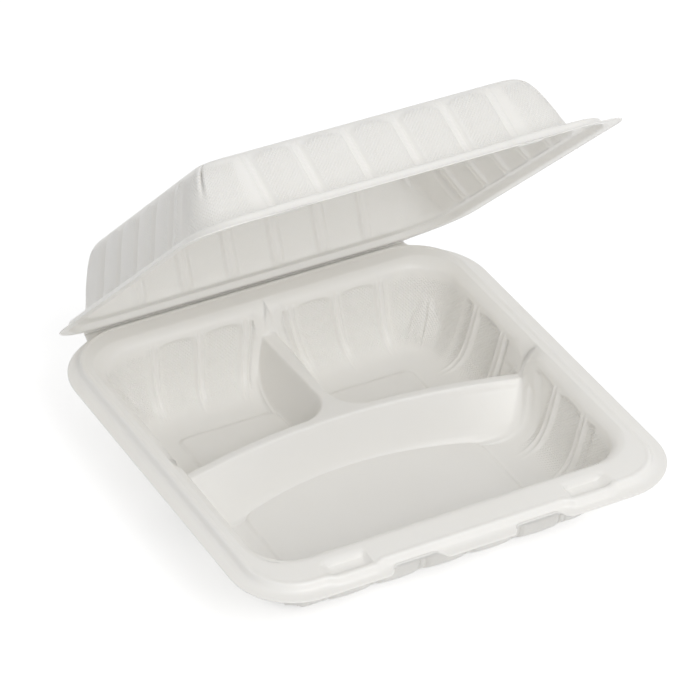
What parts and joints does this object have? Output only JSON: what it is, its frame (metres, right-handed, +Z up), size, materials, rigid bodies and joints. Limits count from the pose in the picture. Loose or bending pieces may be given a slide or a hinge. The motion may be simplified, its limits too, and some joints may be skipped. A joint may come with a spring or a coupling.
{
  "type": "hinged food container",
  "caption": "White clamshell food container with a hinged lid and a compartment tray with fluted walls, open halfway.",
  "frame": {"origin": "on the table, midway between the tray's front edge and the crease of its hinge", "axes": "+X along the hinge to the right, +Y from the front edge to the hinge, +Z up"},
  "size_m": [0.231, 0.2355, 0.2032],
  "materials": {
    "tray_sheet": "satin thermoformed sheet with a fine embossed grain",
    "lid_sheet": "satin thermoformed sheet with a fine embossed grain"
  },
  "bodies": {
    "tray": {"tray": "tray_sheet"},
    "lid": {"lid": "lid_sheet"}
  },
  "joints": [
    {"name": "lid_hinge", "type": "hinge", "parent": "tray", "child": "lid", "pos_m": [0, 0.1161, 0.03952], "axis": [-1, 0, 0], "range_deg": [-45, 135]}
  ]
}
